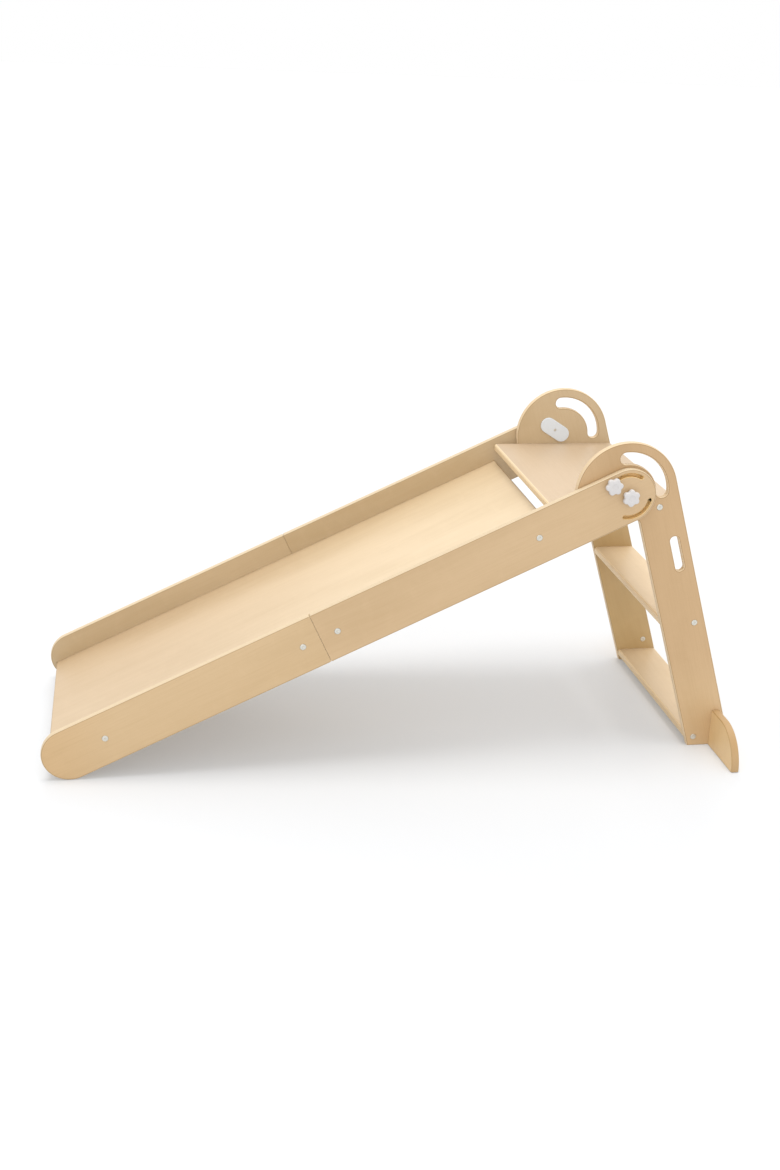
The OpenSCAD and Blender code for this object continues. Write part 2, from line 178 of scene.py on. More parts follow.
class Build:
    """Vertices, faces and exact corner normals of one piece, in millimetres."""

    def __init__(self):
        self.verts, self.faces, self.normals = [], [], []

    def face(self, idx, nrm, flip):
        if flip:
            idx, nrm = idx[::-1], nrm[::-1]
        self.faces.append(tuple(idx))
        self.normals.append(tuple(nrm))

    def plate(self, to3, loops, T, recesses=(), seg=4, f0=1.0, f1=1.0):
        """A board of thickness T: loops[0] is its outline and the rest are openings, each vertex (u, v, arris).
        Its arrises are rounded by their own radius. A recess is (face 0 or 1, loop, depth)."""
        o = to3(0, 0, 0)
        ax = [to3(1, 0, 0) - o, to3(0, 1, 0) - o, to3(0, 0, 1) - o]
        flip = ax[0].cross(ax[1]).dot(ax[2]) < 0

        def n3(x, y, z):
            return (ax[0] * x + ax[1] * y + ax[2] * z).normalized()

        def dirs(loop):
            res = []
            for i in range(len(loop)):
                p = Vector(loop[i][:2])
                e0 = (p - Vector(loop[i - 1][:2])).normalized()
                e1 = (Vector(loop[(i + 1) % len(loop)][:2]) - p).normalized()
                n0, n1 = Vector((e0.y, -e0.x)), Vector((e1.y, -e1.x))
                res.append(((n0 + n1) / (1 + n0.dot(n1)), (n0 + n1).normalized()))
            return res

        def ring(loop, dr, inset, depth, tilt, base, sign):
            """One ring of vertices. inset and depth are shares of each vertex's arris."""
            ids, nrm = [], []
            for (u, v, r), (m, n) in zip(loop, dr):
                self.verts.append(to3(u - m.x * inset * r, v - m.y * inset * r, base + sign * depth * r))
                ids.append(len(self.verts) - 1)
                s, c = math.sin(tilt), math.cos(tilt)
                nrm.append(n3(n.x * s, n.y * s, -sign * c))
            return ids, nrm

        def wall(a, b):
            (ia, na), (ib, nb) = a, b
            k = len(ia)
            for i in range(k):
                j = (i + 1) % k
                self.face([ia[i], ia[j], ib[j], ib[i]], [na[i], na[j], nb[j], nb[i]], flip)

        rims = ([], [])
        for li, loop in enumerate(loops):
            if (area(loop) > 0) != (li == 0):
                loop = loop[::-1]
            dr = dirs(loop)
            rings = []
            for k in range(seg + 1):
                q = math.pi / 2 * k / seg
                l2 = [(u, v, r * f0) for u, v, r in loop]
                rings.append(ring(l2, dr, 1 - math.sin(q), 1 - math.cos(q), q, 0.0, 1))
            for k in range(seg, -1, -1):
                q = math.pi / 2 * k / seg
                l2 = [(u, v, r * f1) for u, v, r in loop]
                rings.append(ring(l2, dr, 1 - math.sin(q), 1 - math.cos(q), q, T, -1))
            for a, b in zip(rings, rings[1:]):
                wall(a, b)
            rims[0].append(([(loop[i][0] - dr[i][0].x * loop[i][2] * f0, loop[i][1] - dr[i][0].y * loop[i][2] * f0) for i in range(len(loop))], rings[0][0]))
            rims[1].append(([(loop[i][0] - dr[i][0].x * loop[i][2] * f1, loop[i][1] - dr[i][0].y * loop[i][2] * f1) for i in range(len(loop))], rings[-1][0]))
        for side, loop, deep in recesses:
            if area(loop) > 0:
                loop = loop[::-1]
            dr = dirs(loop)
            base, sign = (0.0, 1) if side == 0 else (T, -1)
            rings = []
            for k in range(3):
                q = math.pi / 2 * k / 2
                rings.append(ring(loop, dr, 1 - math.sin(q), 1 - math.cos(q), q, base, sign))
            flat = [(u, v, 0.0) for u, v, r in loop]
            rings.append(ring(flat, dr, 0, 0, math.pi / 2, base + sign * deep, sign))
            for a, b in zip(rings, rings[1:]):
                wall(*((a, b) if side == 0 else (b, a)))
            pts = [(u - m.x * r, v - m.y * r) for (u, v, r), (m, n) in zip(loop, dr)]
            rims[side].append((pts, rings[0][0]))
            up = n3(0, 0, -sign)
            ids = rings[-1][0] if side == 0 else rings[-1][0][::-1]
            self.face(ids, [up] * len(ids), flip)
        for side in (0, 1):
            self.cap(rims[side], n3(0, 0, -1 if side == 0 else 1), (side == 0) != flip)
        return self

    def cap(self, rims, nrm, flip):
        pts = [p for r, _ in rims for p in r]
        ids = [i for _, r in rims for i in r]
        tris = tessellate_polygon([[Vector((x, y, 0)) for x, y in r] for r, _ in rims])
        total = 0.0
        for tri in tris:
            a, b, c = (Vector(pts[i]) for i in tri)
            s = (b - a).cross(c - a) / 2
            if abs(s) < 1e-7:
                continue
            total += abs(s)
            t = [ids[i] for i in (tri if s > 0 else tri[::-1])]
            self.face(t, [nrm] * 3, flip)
        want = abs(area(rims[0][0])) - sum(abs(area(r)) for r, _ in rims[1:])
        if abs(total - want) > 1e-3 * want:
            raise ValueError("a face was not filled: %.1f of %.1f" % (total, want))

    def bore_below(self, z, deep, centres, r, n=32):
        """Blind round bores up into the one large flat face that lies at height z."""
        i = max((i for i, f in enumerate(self.faces) if all(abs(self.verts[k].z - z) < 1e-6 for k in f)),
                key=lambda i: (self.verts[self.faces[i][0]] - self.verts[self.faces[i][2]]).length)
        rim = list(self.faces.pop(i))
        self.normals.pop(i)
        if area([tuple(self.verts[k])[:2] for k in rim]) < 0:
            rim = rim[::-1]
        rims = [([tuple(self.verts[k])[:2] for k in rim], rim)]
        for x, y in centres:
            rings = []
            for h, q, c in ((0.0, r + 0.3, (0.0, -1.0)), (0.09, r + 0.09, (-0.7, -0.7)), (0.3, r, (-1.0, 0.0)), (deep, r, (-1.0, 0.0))):
                ids, nrm = [], []
                for k in range(n):
                    a = -2 * math.pi * k / n
                    self.verts.append(Vector((x + q * math.cos(a), y + q * math.sin(a), z + h)))
                    ids.append(len(self.verts) - 1)
                    nrm.append(Vector((c[0] * math.cos(a), c[0] * math.sin(a), c[1])).normalized())
                rings.append((ids, nrm))
            for (ia, na), (ib, nb) in zip(rings, rings[1:]):
                for k in range(n):
                    j = (k + 1) % n
                    self.face([ia[k], ia[j], ib[j], ib[k]], [na[k], na[j], nb[j], nb[k]], False)
            self.face(rings[-1][0], [Vector((0, 0, -1))] * n, False)
            rims.append(([tuple(self.verts[k])[:2] for k in rings[0][0]], rings[0][0]))
        self.cap(rims, Vector((0, 0, -1)), True)

    def stack(self, to3, rings, closed=False):
        """Rings of equal length, each (points, height), skinned one after another; open ends are filled."""
        start = []
        for pts, h in rings:
            start.append(len(self.verts))
            for x, y in pts:
                self.verts.append(to3(x, y, h))
        k = len(rings[0][0])
        quads = []
        pairs = list(zip(start, start[1:])) + ([(start[-1], start[0])] if closed else [])
        for a, b in pairs:
            for i in range(k):
                j = (i + 1) % k
                quads.append((a + i, a + j, b + j, b + i))
        if not closed:
            quads.append(tuple(range(start[0], start[0] + k))[::-1])
            quads.append(tuple(range(start[-1], start[-1] + k)))
        self.faces += quads
        return self

    def done(self, name, mat, body, replaced, slot, exact=True):
        if exact:
            return finish_mesh(name, self.verts, self.faces, self.normals, mat, body, replaced)
        ob = finish_mesh(name, self.verts, self.faces, None, mat, body, replaced)
        bm = bmesh.new()
        bm.from_mesh(ob.data)
        bmesh.ops.recalc_face_normals(bm, faces=bm.faces)
        bm.to_mesh(ob.data)
        bm.free()
        ob.data.polygons.foreach_set("use_smooth", [True] * len(ob.data.polygons))
        ob.data.set_sharp_from_angle(angle=math.radians(38))
        ob.data.update()
        return ob


def round_pts(r, n=48):
    return [(r * math.cos(2 * math.pi * i / n), r * math.sin(2 * math.pi * i / n)) for i in range(n)]


def hex_pts(r, n=48):
    """A hexagon of corner radius r, corners at multiples of 60 degrees, as n points at even angles."""
    out = []
    for i in range(n):
        a = 2 * math.pi * i / n
        d = r * math.cos(math.pi / 6) / math.cos(a % (math.pi / 3) - math.pi / 6)
        out.append((d * math.cos(a), d * math.sin(a)))
    return out


# ---------------------------------------------------------------- materials
def lin(c):
    """sRGB 0-255 to linear RGBA."""
    out = []
    for v in c:
        v /= 255
        out.append(v / 12.92 if v <= 0.04045 else ((v + 0.055) / 1.055) ** 2.4)
    return (*out, 1.0)


class Shader:
    """A small builder for a Principled material."""

    def __init__(self, name):
        self.mat = bpy.data.materials.new(name)
        self.mat.use_nodes = True
        self.t = self.mat.node_tree
        self.t.nodes.clear()
        out = self.node("ShaderNodeOutputMaterial")
        self.b = self.node("ShaderNodeBsdfPrincipled")
        self.t.links.new(self.b.outputs[0], out.inputs[0])

    def node(self, kind, **props):
        n = self.t.nodes.new(kind)
        for k, v in props.items():
            setattr(n, k, v)
        return n

    def put(self, sock, v):
        if isinstance(v, bpy.types.NodeSocket):
            self.t.links.new(v, sock)
        elif v is not None:
            sock.default_value = v

    def math(self, op, a, b=None, c=None, clamp=False):
        n = self.node("ShaderNodeMath", operation=op, use_clamp=clamp)
        for i, v in enumerate((a, b, c)):
            self.put(n.inputs[i], v)
        return n.outputs[0]

    def vec(self, x, y, z):
        n = self.node("ShaderNodeCombineXYZ")
        for i, v in enumerate((x, y, z)):
            self.put(n.inputs[i], v)
        return n.outputs[0]

    def dot(self, v, d):
        n = self.node("ShaderNodeVectorMath", operation="DOT_PRODUCT")
        self.put(n.inputs[0], v)
        n.inputs[1].default_value = tuple(d)
        return n.outputs["Value"]

    def noise(self, v, scale=1.0, detail=2.0, rough=0.5, distortion=0.0):
        n = self.node("ShaderNodeTexNoise")
        self.put(n.inputs["Vector"], v)
        n.inputs["Scale"].default_value = scale
        n.inputs["Detail"].default_value = detail
        n.inputs["Roughness"].default_value = rough
        n.inputs["Distortion"].default_value = distortion
        return n.outputs[0]

    def smooth(self, v, lo, hi, to0=0.0, to1=1.0):
        n = self.node("ShaderNodeMapRange", interpolation_type="SMOOTHSTEP")
        for i, x in enumerate((v, lo, hi, to0, to1)):
            self.put(n.inputs[i], x)
        return n.outputs[0]

    def mixf(self, f, a, b):
        n = self.node("ShaderNodeMix", data_type="FLOAT")
        self.put(n.inputs[0], f)
        self.put(n.inputs[2], a)
        self.put(n.inputs[3], b)
        return n.outputs[0]

    def mix(self, f, a, b, mode="MIX"):
        n = self.node("ShaderNodeMix", data_type="RGBA", blend_type=mode)
        self.put(n.inputs[0], f)
        self.put(n.inputs[6], a)
        self.put(n.inputs[7], b)
        return n.outputs[2]

    def bump(self, height, distance, strength=1.0):
        n = self.node("ShaderNodeBump")
        n.inputs["Strength"].default_value = strength
        n.inputs["Distance"].default_value = distance
        self.put(n.inputs["Height"], height)
        self.put(self.b.inputs["Normal"], n.outputs[0])


def scale_rgb(c, k):
    return (*(min(1.0, v * s) for v, s in zip(c[:3], k)), 1.0)


def birch(name, origin, g, w, T, plies, face, seed, edge=(198, 178, 146), worn=0.9, tone_and_shade_drift=(), hinge_light_and_shade=None):
    """Lacquered birch plywood as a solid: rotary-cut face veneers along g, crossed plies under them, thin glue lines.
    origin (mm) is a point on the mid-plane, g and w are unit vectors along and across the face grain."""
    s = Shader(name)
    g, w = Vector(g).normalized(), Vector(w).normalized()
    t = g.cross(w)
    R = Matrix((g, w, t)).transposed()
    tc = s.node("ShaderNodeTexCoord")
    mp = s.node("ShaderNodeMapping", vector_type="TEXTURE")
    s.put(mp.inputs["Vector"], tc.outputs["Object"])
    mp.inputs["Location"].default_value = tuple(Vector(origin) * 0.001)
    mp.inputs["Rotation"].default_value = R.to_euler("XYZ")
    sep = s.node("ShaderNodeSeparateXYZ")
    s.put(sep.inputs[0], mp.outputs[0])
    X, Y, Z = sep.outputs
    p = T * 0.001 / plies
    zc = s.math("MAXIMUM", s.math("MINIMUM", Z, (T / 2 - 0.45) * 0.001), -(T / 2 - 0.45) * 0.001)
    k = s.math("ADD", s.math("DIVIDE", zc, p), 0.5)
    ply = s.math("FLOOR", k)
    frac = s.math("FRACT", k)
    near = s.math("MULTIPLY", s.math("MINIMUM", frac, s.math("SUBTRACT", 1.0, frac)), p)
    glue = s.smooth(near, 0.00003, 0.00013, 1.0, 0.0)
    par = s.math("MODULO", s.math("ABSOLUTE", ply), 2.0)
    cross = par if ((plies - 1) // 2) % 2 == 0 else s.math("SUBTRACT", 1.0, par)
    n_g = s.math("ABSOLUTE", s.dot(tc.outputs["Normal"], g))
    n_w = s.math("ABSOLUTE", s.dot(tc.outputs["Normal"], w))
    n_t = s.math("ABSOLUTE", s.dot(tc.outputs["Normal"], t))
    end = s.mixf(cross, n_g, n_w)
    along, across = s.mixf(cross, X, Y), s.mixf(cross, Y, X)
    plyseed = s.math("MULTIPLY_ADD", ply, 3.17, float(seed))
    # broad figure, wavy growth bands, mottle across the grain, fibres and pores
    warp = s.noise(s.vec(s.math("MULTIPLY", along, 2.0), s.math("MULTIPLY", across, 7.0), plyseed), 1.0, 2.0)
    broad = s.noise(s.vec(s.math("MULTIPLY", along, 1.3), s.math("MULTIPLY", across, 5.5), plyseed), 1.0, 3.0, 0.55)
    rings = s.math("MULTIPLY_ADD", s.math("SINE", s.math("MULTIPLY_ADD", across, 260.0, s.math("MULTIPLY", warp, 34.0))), 0.5, 0.5)
    mottle = s.noise(s.vec(s.math("MULTIPLY", along, 34.0), s.math("MULTIPLY", across, 20.0), plyseed), 1.0, 3.0, 0.6, 0.4)
    streak = s.noise(s.vec(s.math("MULTIPLY", along, 9.0), s.math("MULTIPLY", across, 330.0), plyseed), 1.0, 3.0, 0.6)
    fibre = s.noise(s.vec(s.math("MULTIPLY", along, 55.0), s.math("MULTIPLY", across, 2600.0), s.math("MULTIPLY", zc, 2600.0)), 1.0, 2.0, 0.6)
    pores = s.smooth(s.noise(s.vec(s.math("MULTIPLY", along, 260.0), s.math("MULTIPLY", across, 3200.0), s.math("MULTIPLY_ADD", zc, 3200.0, 9.3)), 1.0, 1.0), 0.64, 0.76)
    f = lin(face)
    light, dark = scale_rgb(f, (1.05, 1.055, 1.07)), scale_rgb(f, (0.93, 0.915, 0.88))
    col = s.mix(s.smooth(broad, 0.30, 0.70), light, dark)
    col = s.mix(s.math("MULTIPLY", s.smooth(rings, 0.25, 0.95), s.math("MULTIPLY", s.smooth(broad, 0.42, 0.62), 0.30)), col, scale_rgb(f, (0.90, 0.865, 0.80)))
    col = s.mix(s.math("MULTIPLY", s.smooth(mottle, 0.45, 0.75), 0.24), col, scale_rgb(f, (1.10, 1.11, 1.14)))
    col = s.mix(s.math("MULTIPLY", s.smooth(streak, 0.40, 0.78), 0.34), col, scale_rgb(f, (0.88, 0.84, 0.77)))
    col = s.mix(s.math("MULTIPLY", fibre, 0.20), col, scale_rgb(f, (0.90, 0.87, 0.82)))
    col = s.mix(s.math("MULTIPLY", pores, 0.32), col, scale_rgb(f, (0.72, 0.62, 0.50)))
    # the cut edge: pale long-grain plies, browner end-grain plies, glue lines
    at = s.node("ShaderNodeSeparateXYZ")
    s.put(at.inputs[0], tc.outputs["Object"])
    for axis, v0, v1, c0, c1, *kept in tone_and_shade_drift:
        # a slow tone drift over the piece (axis 3 is |y|); kept: on the inner or outer face alone. Most drifts here are
        # painted light and shade: the board's, the treads', the ladder panels' lower parts and the split between the
        # panels' inner and outer faces; the near lower side panel's is a plain tone drift, more golden toward its low
        # end
        amount = s.smooth(at.outputs[axis] if axis < 3 else s.math("ABSOLUTE", at.outputs[1]), v0, v1)
        if kept:
            mid, gone = kept
            amount = s.math("MAXIMUM", amount, s.smooth(s.math("ABSOLUTE", at.outputs[1]), mid - gone * 0.0004, mid + gone * 0.0004))
        tone = s.mix(amount, (*c0, 1), (*c1, 1))
        col = s.mix(1.0, col, tone, "MULTIPLY")
    e = lin(edge)
    rim = s.smooth(n_t, 0.985, 0.86)
    side = s.mix(s.math("MULTIPLY", fibre, 0.5), scale_rgb(e, (1.02, 1.02, 1.02)), scale_rgb(e, (0.90, 0.87, 0.82)))
    butt = s.mix(fibre, scale_rgb(e, (0.95, 0.90, 0.81)), scale_rgb(e, (0.80, 0.72, 0.58)))
    cut = s.mix(s.smooth(end, 0.25, 0.85), side, butt)
    cut = s.mix(s.math("MULTIPLY", glue, 0.38), cut, scale_rgb(e, (0.55, 0.42, 0.28)))
    col = s.mix(rim, col, cut)
    if worn:
        # the sanded arris cuts through the face veneer's glue line
        band = s.math("MULTIPLY", s.smooth(n_t, 0.80, 0.90), s.smooth(n_t, 0.998, 0.985))
        col = s.mix(s.math("MULTIPLY", band, worn), col, scale_rgb(f, (0.62, 0.53, 0.38)))
    if hinge_light_and_shade:
        # painted light: a lighter, golden tone round the hinge, in the arc slots and on the head's face that the slide
        # covers, lifting the shade inside the slots
        dx, dz = s.math("SUBTRACT", at.outputs[0], PX * 0.001), s.math("SUBTRACT", at.outputs[2], PIVOT_Z * 0.001)
        far = s.math("SQRT", s.math("ADD", s.math("MULTIPLY", dx, dx), s.math("MULTIPLY", dz, dz)))
        painted_slot_light = s.math("MULTIPLY", s.smooth(far, 0.0558, 0.0545), rim if hinge_light_and_shade == "cut" else s.smooth(s.math("ABSOLUTE", at.outputs[1]), 0.2520, 0.2530))
        col = s.mix(painted_slot_light, col, s.mix(s.math("MULTIPLY", fibre, 0.4), (0.86, 0.63, 0.31, 1), (0.76, 0.54, 0.25, 1)))
        # painted shade: near-black spots inside the spare lock hole and at the end of the lower arc slot, standing for
        # the deep shadow there
        cx, cz = SLOT_END if hinge_light_and_shade == "cut" else SPARE
        hx, hz = s.math("SUBTRACT", dx, cx * 0.001), s.math("SUBTRACT", dz, cz * 0.001)
        off = s.math("SQRT", s.math("ADD", s.math("MULTIPLY", hx, hx), s.math("MULTIPLY", hz, hz)))
        y = s.math("ABSOLUTE", at.outputs[1])
        if hinge_light_and_shade == "cut":
            painted_hole_shade = s.math("MULTIPLY", s.smooth(off, 0.0060, 0.0046), s.math("MULTIPLY", rim, s.smooth(y, 0.2688, 0.2676)))
        else:
            painted_hole_shade = s.math("MULTIPLY", s.smooth(off, 0.0048, 0.0040), s.math("MULTIPLY", s.smooth(y, 0.2536, 0.2530), s.smooth(y, 0.2404, 0.2410)))
        col = s.mix(painted_hole_shade, col, s.mix(fibre, (0.055, 0.032, 0.016, 1), (0.022, 0.013, 0.008, 1)))
    s.put(s.b.inputs["Base Color"], col)
    rough = s.math("ADD", s.math("MULTIPLY_ADD", fibre, 0.14, 0.36), s.math("MULTIPLY", s.math("MULTIPLY", rim, end), 0.16))
    rough = s.math("ADD", rough, s.math("MULTIPLY", mottle, 0.06))
    s.put(s.b.inputs["Roughness"], rough)
    s.b.inputs["IOR"].default_value = 1.47
    s.b.inputs["Coat Weight"].default_value = 0.12
    s.b.inputs["Coat Roughness"].default_value = 0.30
    h = s.math("SUBTRACT", s.math("MULTIPLY", fibre, 0.5), s.math("MULTIPLY", pores, 0.7))
    h = s.math("ADD", h, s.math("MULTIPLY", streak, 0.35))
    h = s.math("SUBTRACT", h, s.math("MULTIPLY", s.math("MULTIPLY", glue, rim), 0.8))
    s.bump(h, 0.00006, 0.8)
    return s.mat


def twin(side, near, far, mid):
    """The tone step that gives both panels of a pair the same outer and the same inner face; mid is |y| in the panel.
    The inner tone is the one matched on the far panel's inner face as it lies in shade, so this split is painted light
    and shade.
    """
    k = tuple(a / b for a, b in zip(lin(far), lin(near)))[:3]
    one = (1, 1, 1)
    return (3, mid - 0.0004, mid + 0.0004, k, one) if side < 0 else (3, mid - 0.0004, mid + 0.0004, one, tuple(1 / v for v in k))


def beech(name, base=(214, 170, 122)):
    """Fluted beech dowels: straight grain along their length with short rays."""
    s = Shader(name)
    tc = s.node("ShaderNodeTexCoord")
    fine = s.noise(tc.outputs["Object"], 900.0, 3.0, 0.6)
    fleck = s.smooth(s.noise(tc.outputs["Object"], 420.0, 1.0), 0.6, 0.7)
    b = lin(base)
    col = s.mix(s.math("MULTIPLY", fine, 0.5), b, scale_rgb(b, (0.8, 0.74, 0.66)))
    col = s.mix(s.math("MULTIPLY", fleck, 0.4), col, scale_rgb(b, (0.6, 0.48, 0.38)))
    s.put(s.b.inputs["Base Color"], col)
    s.put(s.b.inputs["Roughness"], s.math("MULTIPLY_ADD", fine, 0.2, 0.55))
    s.bump(fine, 0.00008)
    return s.mat


def moulded(name, base, rough=0.40, grain=2400.0, bump=0.00003):
    """Injection-moulded plastic with a fine eroded skin."""
    s = Shader(name)
    tc = s.node("ShaderNodeTexCoord")
    skin = s.noise(tc.outputs["Object"], grain, 2.0, 0.6)
    cloud = s.noise(tc.outputs["Object"], 60.0, 2.0)
    b = lin(base)
    col = s.mix(s.math("MULTIPLY", cloud, 0.5), scale_rgb(b, (1.02, 1.02, 1.02)), scale_rgb(b, (0.94, 0.935, 0.925)))
    col = s.mix(s.math("MULTIPLY", skin, 0.15), col, scale_rgb(b, (0.88, 0.87, 0.86)))
    s.put(s.b.inputs["Base Color"], col)
    s.put(s.b.inputs["Roughness"], s.math("ADD", s.math("MULTIPLY_ADD", skin, 0.10, rough - 0.05), s.math("MULTIPLY", cloud, 0.06)))
    s.b.inputs["IOR"].default_value = 1.49
    s.bump(skin, bump)
    return s.mat


def zinc(name, base=(214, 215, 216), thread=None):
    """Bright zinc-plated steel; thread is the pitch in metres of a thread along Y."""
    s = Shader(name)
    tc = s.node("ShaderNodeTexCoord")
    fine = s.noise(tc.outputs["Object"], 1800.0, 3.0, 0.65)
    cloud = s.noise(tc.outputs["Object"], 220.0, 2.0)
    b = lin(base)
    col = s.mix(cloud, b, scale_rgb(b, (0.86, 0.87, 0.90)))
    s.put(s.b.inputs["Base Color"], col)
    s.b.inputs["Metallic"].default_value = 1.0
    s.put(s.b.inputs["Roughness"], s.math("ADD", s.math("MULTIPLY_ADD", fine, 0.16, 0.22), s.math("MULTIPLY", cloud, 0.10)))
    if thread:
        sep = s.node("ShaderNodeSeparateXYZ")
        s.put(sep.inputs[0], tc.outputs["Object"])
        wave = s.math("SINE", s.math("MULTIPLY", sep.outputs[1], 2 * math.pi / thread))
        s.bump(wave, thread * 0.25)
    else:
        s.bump(fine, 0.00002)
    return s.mat


SLIDE_G = (math.cos(A), 0, math.sin(A))
SLIDE_W = (-math.sin(A), 0, math.cos(A))
LEG_G = (-math.sin(B), 0, math.cos(B))
LEG_X = (math.cos(B), 0, math.sin(B))

FACE = {
    "board": (207, 184, 151),
    "side_near": (199, 170, 131),
    "side_far": (195, 173, 139),
    "ladder_near": (192, 160, 119),
    "ladder_far": (197, 174, 139),
    "platform": (197, 175, 148),
    "middle": (227, 204, 170),
    "bottom": (210, 187, 154),
    "foot": (224, 193, 144),
}
STEEL = zinc("zinc_plated_steel", (222, 219, 208))
THREAD = zinc("zinc_plated_thread", (196, 198, 201), 0.00125)
KNOB = moulded("knob_plastic", (206, 203, 202))
COVER = moulded("cover_plastic", (217, 223, 229), 0.46)
NYLON = moulded("nylon", (226, 224, 216), 0.5)
BEECH = beech("beech_dowel")


# ---------------------------------------------------------------- slide
def panel_to3(sign, y0, place):
    """(u, v) on a panel's face and t from its inner to its outer face."""
    return lambda u, v, t: place(u, sign * (y0 + t), v)


def circ_hole(s, o, r, arris, n=40):
    return circle(-s, o, r, arris, n)


ARR = 3.2
for side, sign in (("left", -1), ("right", 1)):
    face = FACE["side_near"] if sign < 0 else FACE["side_far"]
    # upper panel: half-round end about the hinge, butt joint at the seam
    u0 = -(SEAM - 0.2)
    up = [(x, z, 0, ARR, ARR) for x, z in arc(0, 0, SIDE_R, -90, 90, 44)]
    up += [(u0, SIDE_R, 3.4, ARR, 0.6), (u0, -SIDE_R, 3.4, 0.6, ARR)]
    holes = [circle(0, 0, 4.05, 0.4, 32), arc_slot(LOCK_R, 8.6, 36, 123, 1.2), arc_slot(LOCK_R, 8.6, -123, -36, 1.2)]
    rec = [(1, circ_hole(s, 0, 6.95, 0.35), 2.0) for s in BOLTS_S[:2]]
    g0, g1 = BOARD_START - 0.2, SEAM - 1.3
    rec.append((0, soft([(-g1, -6.1), (-g0, -6.1), (-g0, 6.1), (-g1, 6.1)], 0.02), GROOVE))
    mat = birch("birch_side_upper_" + side, in_slide(-340, sign * (Y_SI + 7.5), 0), SLIDE_G, SLIDE_W, 15, 11, face, 11 + sign, (214, 197, 169), hinge_light_and_shade="cut",
                tone_and_shade_drift=[twin(sign, FACE["side_near"], FACE["side_far"], (Y_SI + 7.5) * 0.001)])
    Build().plate(panel_to3(sign, Y_SI, in_slide), [corners(up)] + holes, SIDE_T, rec).done(
        "upper_side_panel_" + side, mat, "slide", ["side_panel_upper_" + side], "birch_plywood")
    # lower panel: half-round end that stands on the floor
    l0 = -(SEAM + 0.2)
    lo = [(x, z, 0, ARR, ARR) for x, z in arc(-SLIDE_LEN, 0, SIDE_R, 90, 270, 44)]
    lo += [(l0, -SIDE_R, 3.4, ARR, 0.6), (l0, SIDE_R, 3.4, 0.6, ARR)]
    rec = [(1, circ_hole(s, 0, 6.95, 0.35), 2.0) for s in BOLTS_S[2:]]
    g0, g1 = SEAM + 1.3, BOARD_END + 0.2
    rec.append((0, soft([(-g1, -6.1), (-g0, -6.1), (-g0, 6.1), (-g1, 6.1)], 0.02), GROOVE))
    mat = birch("birch_side_lower_" + side, in_slide(-1010, sign * (Y_SI + 7.5), 0), SLIDE_G, SLIDE_W, 15, 11, face, 23 + sign, (214, 197, 169),
                tone_and_shade_drift=[twin(sign, FACE["side_near"], FACE["side_far"], (Y_SI + 7.5) * 0.001)]
                + ([(0, -0.78, -0.60, (1.0, 0.965, 0.88), (1.035, 1.045, 1.03))] if sign < 0 else []))
    Build().plate(panel_to3(sign, Y_SI, in_slide), [corners(lo)], SIDE_T, rec).done(
        "lower_side_panel_" + side, mat, "slide", ["side_panel_lower_" + side], "birch_plywood")

# sliding board, its long edges in the panels' grooves
half = Y_SI + GROOVE - 0.3
bd = [(-BOARD_START, -half, 1.2, 0.4, 2.4), (-BOARD_START, half, 1.2, 2.4, 0.4),
      (-BOARD_END, half, 1.2, 0.4, 3.0), (-BOARD_END, -half, 1.2, 3.0, 0.4)]
bores = [(0, [(x, y, 0.3) for x, y, _ in circle(-s, sg * (Y_SI - 30), 5.05, 0, 32)], 10.2) for s in BOLTS_S for sg in (-1, 1)]
# painted shade: the board is darker toward its low end and toward the far panel, lighter toward the near panel
mat = birch("birch_board", in_slide(-770, 0, 0), SLIDE_G, (0, 1, 0), 12, 9, FACE["board"], 5, tone_and_shade_drift=[
    (0, -0.65, 0.28, (0.90, 0.885, 0.895), (1.09, 1.12, 1.15)), (1, -0.26, 0.26, (1.05, 1.08, 1.12), (0.93, 0.91, 0.87))])
Build().plate(lambda u, v, t: in_slide(u, v, t - BOARD_T / 2), [corners(bd)], BOARD_T, bores).done(
    "sliding_board", mat, "slide", ["slide_board"], "birch_plywood")

# ---------------------------------------------------------------- ladder
base, web = -60.0, 12.0
cx = leg_x(PIVOT_Z + base, LEG_O0) - web / math.sin(math.radians(53.65)) * math.cos(math.radians(53.65))
a_front = 180 - math.degrees(math.asin(base / HEAD_R))
AL = 3.4
head = arc(0, 0, HEAD_R, a_front, math.degrees(B), 72)
lad = [(head[0][0], head[0][1], 3.6, AL, AL)] + [(x, z, 0, AL, AL) for x, z in head[1:]]
lad += [(leg_x(0, HEAD_R), -PIVOT_Z, 3.6, AL, 2.0), (leg_x(0, LEG_O0), -PIVOT_Z, 3.6, 2.0, AL)]
lad += [(x, z, 0, AL, AL) for x, z in arc(cx, base - web, web, math.degrees(B), 90, 14)]
hs0, hs1, ho, hw = 130.0, 214.0, 82.0, 20.0
hand = []
for c, a0 in ((hs0 + hw / 2, 0), (hs1 - hw / 2, 180)):
    for i in range(17):
        q = math.radians(a0 + 180 * i / 16)
        hand.append(ladder_xz(ho + hw / 2 * math.cos(q), c - hw / 2 * math.sin(q)))
lad_holes = [
    arc_slot(79, 26, 3, 96, 3.4, 48, 16),
    soft(hand, 3.0),
    circle(0, 0, 6.05, 0.2, 32),
    circle(LOCK[0], LOCK[1], 6.05, 0.2, 32),
]
